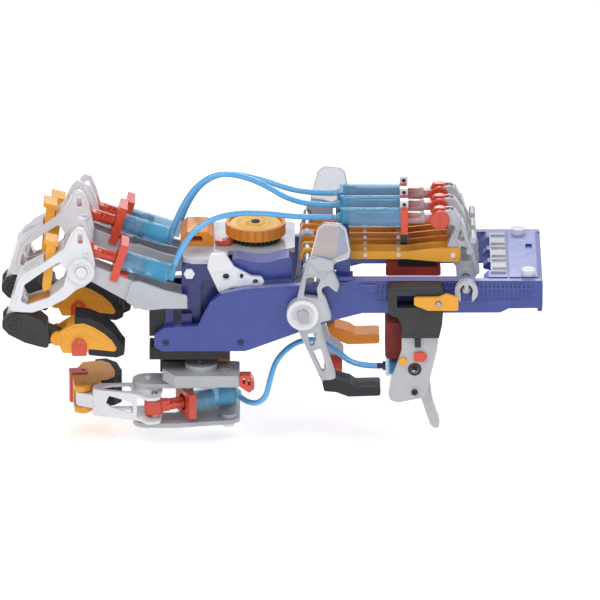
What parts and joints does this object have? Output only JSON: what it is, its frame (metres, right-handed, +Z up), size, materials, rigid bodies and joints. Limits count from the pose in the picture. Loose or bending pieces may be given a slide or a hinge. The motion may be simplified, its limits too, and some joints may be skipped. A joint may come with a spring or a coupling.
{
  "type": "wearable hydraulic hand",
  "caption": "Wearable mechanical hand with fingers and a thumb on a forearm gauntlet, driven by water syringes, hoses, levers and links.",
  "frame": {"origin": "middle of the underside of the wrist cushion, where the wearer's forearm bears on it", "axes": "+X along the forearm toward the elbow, +Y toward the far side, +Z up through the cushion"},
  "size_m": [0.4204, 0.1456, 0.2029],
  "materials": {
    "blue_plastic": "satin",
    "navy_plastic": "satin",
    "white_plastic": "satin",
    "grey_plastic": "satin",
    "dark_grey_plastic": "satin",
    "black_plastic": "satin",
    "yellow_plastic": "satin",
    "orange_plastic": "satin",
    "red_plastic": "satin",
    "silver_plastic": "satin",
    "clear_barrel": "clear",
    "hose": "clear",
    "black_rubber": "matte",
    "wrist_foam": "matte"
  },
  "bodies": {
    "frame": {"side_arms": "blue_plastic", "frame_bridges": "blue_plastic", "rear_panel": "grey_plastic", "palm_housing": "navy_plastic", "palm_base": "black_plastic", "top_plate": "white_plastic", "front_clamp": "orange_plastic", "finger_cradles": "grey_plastic", "thumb_base": "grey_plastic", "syringe_barrels": "clear_barrel", "syringe_clamps": "red_plastic", "fasteners": "white_plastic", "wrist_pad": "wrist_foam", "hose_1": "hose", "hose_2": "hose", "hose_3": "hose", "hose_thumb": "hose"},
    "finger_1_proximal_body": {"finger_1_proximal": "white_plastic", "finger_1_lock": "yellow_plastic"},
    "finger_1_middle_body": {"finger_1_middle": "dark_grey_plastic"},
    "finger_1_tip_body": {"finger_1_tip": "yellow_plastic", "finger_1_pad": "black_rubber"},
    "finger_1_rod_body": {"finger_1_rod": "red_plastic"},
    "master_1_body": {"master_1_rod": "red_plastic"},
    "rocker_1_body": {"rocker_1": "grey_plastic"},
    "lever_1_body": {"input_lever_1": "grey_plastic"},
    "link_1_body": {"link_1": "orange_plastic"},
    "finger_2_proximal_body": {"finger_2_proximal": "white_plastic", "finger_2_lock": "yellow_plastic"},
    "finger_2_middle_body": {"finger_2_middle": "dark_grey_plastic"},
    "finger_2_tip_body": {"finger_2_tip": "yellow_plastic", "finger_2_pad": "black_rubber"},
    "finger_2_rod_body": {"finger_2_rod": "red_plastic"},
    "master_2_body": {"master_2_rod": "red_plastic"},
    "rocker_2_body": {"rocker_2": "grey_plastic"},
    "lever_2_body": {"input_lever_2": "grey_plastic"},
    "link_2_body": {"link_2": "orange_plastic"},
    "finger_3_proximal_body": {"finger_3_proximal": "white_plastic", "finger_3_lock": "yellow_plastic"},
    "finger_3_middle_body": {"finger_3_middle": "dark_grey_plastic"},
    "finger_3_tip_body": {"finger_3_tip": "yellow_plastic", "finger_3_pad": "black_rubber"},
    "finger_3_rod_body": {"finger_3_rod": "red_plastic"},
    "master_3_body": {"master_3_rod": "red_plastic"},
    "rocker_3_body": {"rocker_3": "grey_plastic"},
    "lever_3_body": {"input_lever_3": "grey_plastic"},
    "link_3_body": {"link_3": "orange_plastic"},
    "thumb_proximal_body": {"thumb_proximal": "white_plastic"},
    "thumb_tip_body": {"thumb_tip": "yellow_plastic", "thumb_pad": "black_rubber"},
    "thumb_rod_body": {"thumb_rod": "red_plastic"},
    "handle_body": {"handle_clamp": "dark_grey_plastic", "handle_plate": "silver_plastic", "palm_grip": "wrist_foam", "thumb_master_barrel": "clear_barrel"},
    "thumb_master_body": {"thumb_master_rod": "red_plastic"},
    "thumb_lever_body": {"thumb_lever": "silver_plastic"},
    "handle_latch_body": {"handle_latch": "yellow_plastic"},
    "dial_body": {"dial": "orange_plastic"},
    "dial_pawl_body": {"dial_pawl": "red_plastic"}
  },
  "joints": [
    {"name": "knuckle_1", "type": "hinge", "parent": "frame", "child": "finger_1_proximal_body", "pos_m": [-0.2573, -0.045, 0.0183], "axis": [0, 1, 0], "range_deg": [0, 45]},
    {"name": "middle_1", "type": "hinge", "parent": "finger_1_proximal_body", "child": "finger_1_middle_body", "pos_m": [-0.3103, -0.045, -0.0268], "axis": [0, 1, 0], "range_deg": [0, 36]},
    {"name": "tip_1", "type": "hinge", "parent": "finger_1_middle_body", "child": "finger_1_tip_body", "pos_m": [-0.2764, -0.045, -0.0393], "axis": [0, 1, 0], "range_deg": [0, 22.5]},
    {"name": "slave_rod_1", "type": "slide", "parent": "frame", "child": "finger_1_rod_body", "axis": [0.9511, 0, -0.309], "range_m": [0, 0.0104]},
    {"name": "master_rod_1", "type": "slide", "parent": "frame", "child": "master_1_body", "axis": [1, 0, 0], "range_m": [0, 0.0104]},
    {"name": "rocker_turn_1", "type": "hinge", "parent": "frame", "child": "rocker_1_body", "pos_m": [0.0407, -0.027, 0.0036], "axis": [0, 1, 0], "range_deg": [0, 12.05]},
    {"name": "lever_turn_1", "type": "hinge", "parent": "frame", "child": "lever_1_body", "pos_m": [-0.0857, -0.027, -0.0151], "axis": [0, 1, 0], "range_deg": [0, 6.45]},
    {"name": "link_turn_1", "type": "hinge", "parent": "lever_1_body", "child": "link_1_body", "pos_m": [-0.0825, -0.027, 0.0225], "axis": [0, 1, 0], "range_deg": [-7.6, 0]},
    {"name": "knuckle_2", "type": "hinge", "parent": "frame", "child": "finger_2_proximal_body", "pos_m": [-0.2588, 0, 0.032], "axis": [0, 1, 0], "range_deg": [0, 45]},
    {"name": "middle_2", "type": "hinge", "parent": "finger_2_proximal_body", "child": "finger_2_middle_body", "pos_m": [-0.3118, 0, -0.0131], "axis": [0, 1, 0], "range_deg": [0, 36]},
    {"name": "tip_2", "type": "hinge", "parent": "finger_2_middle_body", "child": "finger_2_tip_body", "pos_m": [-0.2779, 0, -0.0256], "axis": [0, 1, 0], "range_deg": [0, 22.5]},
    {"name": "slave_rod_2", "type": "slide", "parent": "frame", "child": "finger_2_rod_body", "axis": [0.9511, 0, -0.309], "range_m": [0, 0.0104]},
    {"name": "master_rod_2", "type": "slide", "parent": "frame", "child": "master_2_body", "axis": [1, 0, 0], "range_m": [0, 0.0104]},
    {"name": "rocker_turn_2", "type": "hinge", "parent": "frame", "child": "rocker_2_body", "pos_m": [0.0407, 0, 0.0036], "axis": [0, 1, 0], "range_deg": [0, 12.05]},
    {"name": "lever_turn_2", "type": "hinge", "parent": "frame", "child": "lever_2_body", "pos_m": [-0.0857, 0, -0.0151], "axis": [0, 1, 0], "range_deg": [0, 6.45]},
    {"name": "link_turn_2", "type": "hinge", "parent": "lever_2_body", "child": "link_2_body", "pos_m": [-0.0825, 0, 0.0225], "axis": [0, 1, 0], "range_deg": [-7.6, 0]},
    {"name": "knuckle_3", "type": "hinge", "parent": "frame", "child": "finger_3_proximal_body", "pos_m": [-0.2538, 0.045, 0.0205], "axis": [0, 1, 0], "range_deg": [0, 45]},
    {"name": "middle_3", "type": "hinge", "parent": "finger_3_proximal_body", "child": "finger_3_middle_body", "pos_m": [-0.3068, 0.045, -0.0246], "axis": [0, 1, 0], "range_deg": [0, 36]},
    {"name": "tip_3", "type": "hinge", "parent": "finger_3_middle_body", "child": "finger_3_tip_body", "pos_m": [-0.2729, 0.045, -0.0371], "axis": [0, 1, 0], "range_deg": [0, 22.5]},
    {"name": "slave_rod_3", "type": "slide", "parent": "frame", "child": "finger_3_rod_body", "axis": [0.9511, 0, -0.309], "range_m": [0, 0.0104]},
    {"name": "master_rod_3", "type": "slide", "parent": "frame", "child": "master_3_body", "axis": [1, 0, 0], "range_m": [0, 0.0104]},
    {"name": "rocker_turn_3", "type": "hinge", "parent": "frame", "child": "rocker_3_body", "pos_m": [0.0407, 0.027, 0.0036], "axis": [0, 1, 0], "range_deg": [0, 12.05]},
    {"name": "lever_turn_3", "type": "hinge", "parent": "frame", "child": "lever_3_body", "pos_m": [-0.0857, 0.027, -0.0151], "axis": [0, 1, 0], "range_deg": [0, 6.45]},
    {"name": "link_turn_3", "type": "hinge", "parent": "lever_3_body", "child": "link_3_body", "pos_m": [-0.0825, 0.027, 0.0225], "axis": [0, 1, 0], "range_deg": [-7.6, 0]},
    {"name": "thumb_swing", "type": "hinge", "parent": "frame", "child": "thumb_proximal_body", "pos_m": [-0.2066, -0.028, -0.101], "axis": [0, 0, 1], "range_deg": [0, 45]},
    {"name": "thumb_tip_swing", "type": "hinge", "parent": "thumb_proximal_body", "child": "thumb_tip_body", "pos_m": [-0.25748, -0.02229, -0.101], "axis": [0, 0, 1], "range_deg": [0, 18]},
    {"name": "thumb_slave_rod", "type": "slide", "parent": "frame", "child": "thumb_rod_body", "axis": [0.9135, 0.4067, 0], "range_m": [0, 0.0104]},
    {"name": "handle_slide", "type": "slide", "parent": "frame", "child": "handle_body", "axis": [1, 0, 0], "range_m": [0, 0.0066]},
    {"name": "thumb_master_slide", "type": "slide", "parent": "handle_body", "child": "thumb_master_body", "axis": [1, 0, 0], "range_m": [0, 0.0104]},
    {"name": "thumb_lever_turn", "type": "hinge", "parent": "handle_body", "child": "thumb_lever_body", "pos_m": [0.0075, -0.0572, -0.07845], "axis": [0, 1, 0], "range_deg": [0, 45]},
    {"name": "latch_turn", "type": "hinge", "parent": "handle_body", "child": "handle_latch_body", "pos_m": [0.019, -0.074, -0.0024], "axis": [0, 1, 0], "range_deg": [-25, 0]},
    {"name": "dial_turn", "type": "hinge", "parent": "frame", "child": "dial_body", "pos_m": [-0.1226, 0, 0.0235], "axis": [0, 0, 1], "continuous": true},
    {"name": "pawl_turn", "type": "hinge", "parent": "frame", "child": "dial_pawl_body", "pos_m": [-0.146, -0.014, 0.0235], "axis": [0, 0, 1], "range_deg": [0, 25]}
  ],
  "couplings": [
    {"joint": "middle_1", "follows": "knuckle_1", "ratio": 0.8},
    {"joint": "tip_1", "follows": "knuckle_1", "ratio": 0.5},
    {"joint": "slave_rod_1", "follows": "knuckle_1", "m_per_rad": 0.0131},
    {"joint": "master_rod_1", "follows": "knuckle_1", "m_per_rad": 0.0131},
    {"joint": "rocker_turn_1", "follows": "knuckle_1", "ratio": 0.2667},
    {"joint": "lever_turn_1", "follows": "knuckle_1", "ratio": 0.1422},
    {"joint": "link_turn_1", "follows": "knuckle_1", "ratio": -0.1679},
    {"joint": "middle_2", "follows": "knuckle_2", "ratio": 0.8},
    {"joint": "tip_2", "follows": "knuckle_2", "ratio": 0.5},
    {"joint": "slave_rod_2", "follows": "knuckle_2", "m_per_rad": 0.0131},
    {"joint": "master_rod_2", "follows": "knuckle_2", "m_per_rad": 0.0131},
    {"joint": "rocker_turn_2", "follows": "knuckle_2", "ratio": 0.2667},
    {"joint": "lever_turn_2", "follows": "knuckle_2", "ratio": 0.1422},
    {"joint": "link_turn_2", "follows": "knuckle_2", "ratio": -0.1679},
    {"joint": "middle_3", "follows": "knuckle_3", "ratio": 0.8},
    {"joint": "tip_3", "follows": "knuckle_3", "ratio": 0.5},
    {"joint": "slave_rod_3", "follows": "knuckle_3", "m_per_rad": 0.0131},
    {"joint": "master_rod_3", "follows": "knuckle_3", "m_per_rad": 0.0131},
    {"joint": "rocker_turn_3", "follows": "knuckle_3", "ratio": 0.2667},
    {"joint": "lever_turn_3", "follows": "knuckle_3", "ratio": 0.1422},
    {"joint": "link_turn_3", "follows": "knuckle_3", "ratio": -0.1679},
    {"joint": "thumb_tip_swing", "follows": "thumb_swing", "ratio": 0.4},
    {"joint": "thumb_slave_rod", "follows": "thumb_swing", "m_per_rad": 0.0131},
    {"joint": "thumb_master_slide", "follows": "thumb_swing", "m_per_rad": 0.0131},
    {"joint": "thumb_lever_turn", "follows": "thumb_swing", "ratio": 1}
  ]
}
